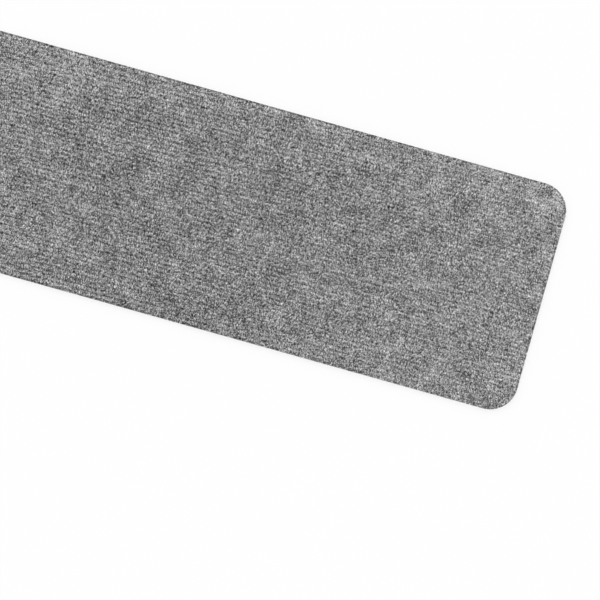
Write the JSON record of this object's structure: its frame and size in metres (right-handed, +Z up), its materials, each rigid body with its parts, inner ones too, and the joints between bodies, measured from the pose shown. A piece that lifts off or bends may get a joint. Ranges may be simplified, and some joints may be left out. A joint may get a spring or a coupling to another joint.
{
  "type": "anti slip stair tread mat",
  "caption": "Long felt mat with round corners, fine ribs along its length, a tacky back and a peel-off film, stuck on a stair tread for grip.",
  "frame": {"origin": "middle of the underside, on the surface that the mat lies on", "axes": "+X along the mat's length, which runs across the stair; +Y across its width, from the tread's front edge to the riser; +Z up out of the ribbed face"},
  "size_m": [0.76, 0.2, 0.004],
  "materials": {
    "felt": "needle-punched polyester felt, mottled mid grey, matte",
    "adhesive": "tacky white coating, satin",
    "film": "thin clear release film, glossy, faintly creased"
  },
  "bodies": {
    "root": {"ribbed_felt": "felt", "adhesive_backing": "adhesive", "release_film": "film"}
  },
  "joints": []
}
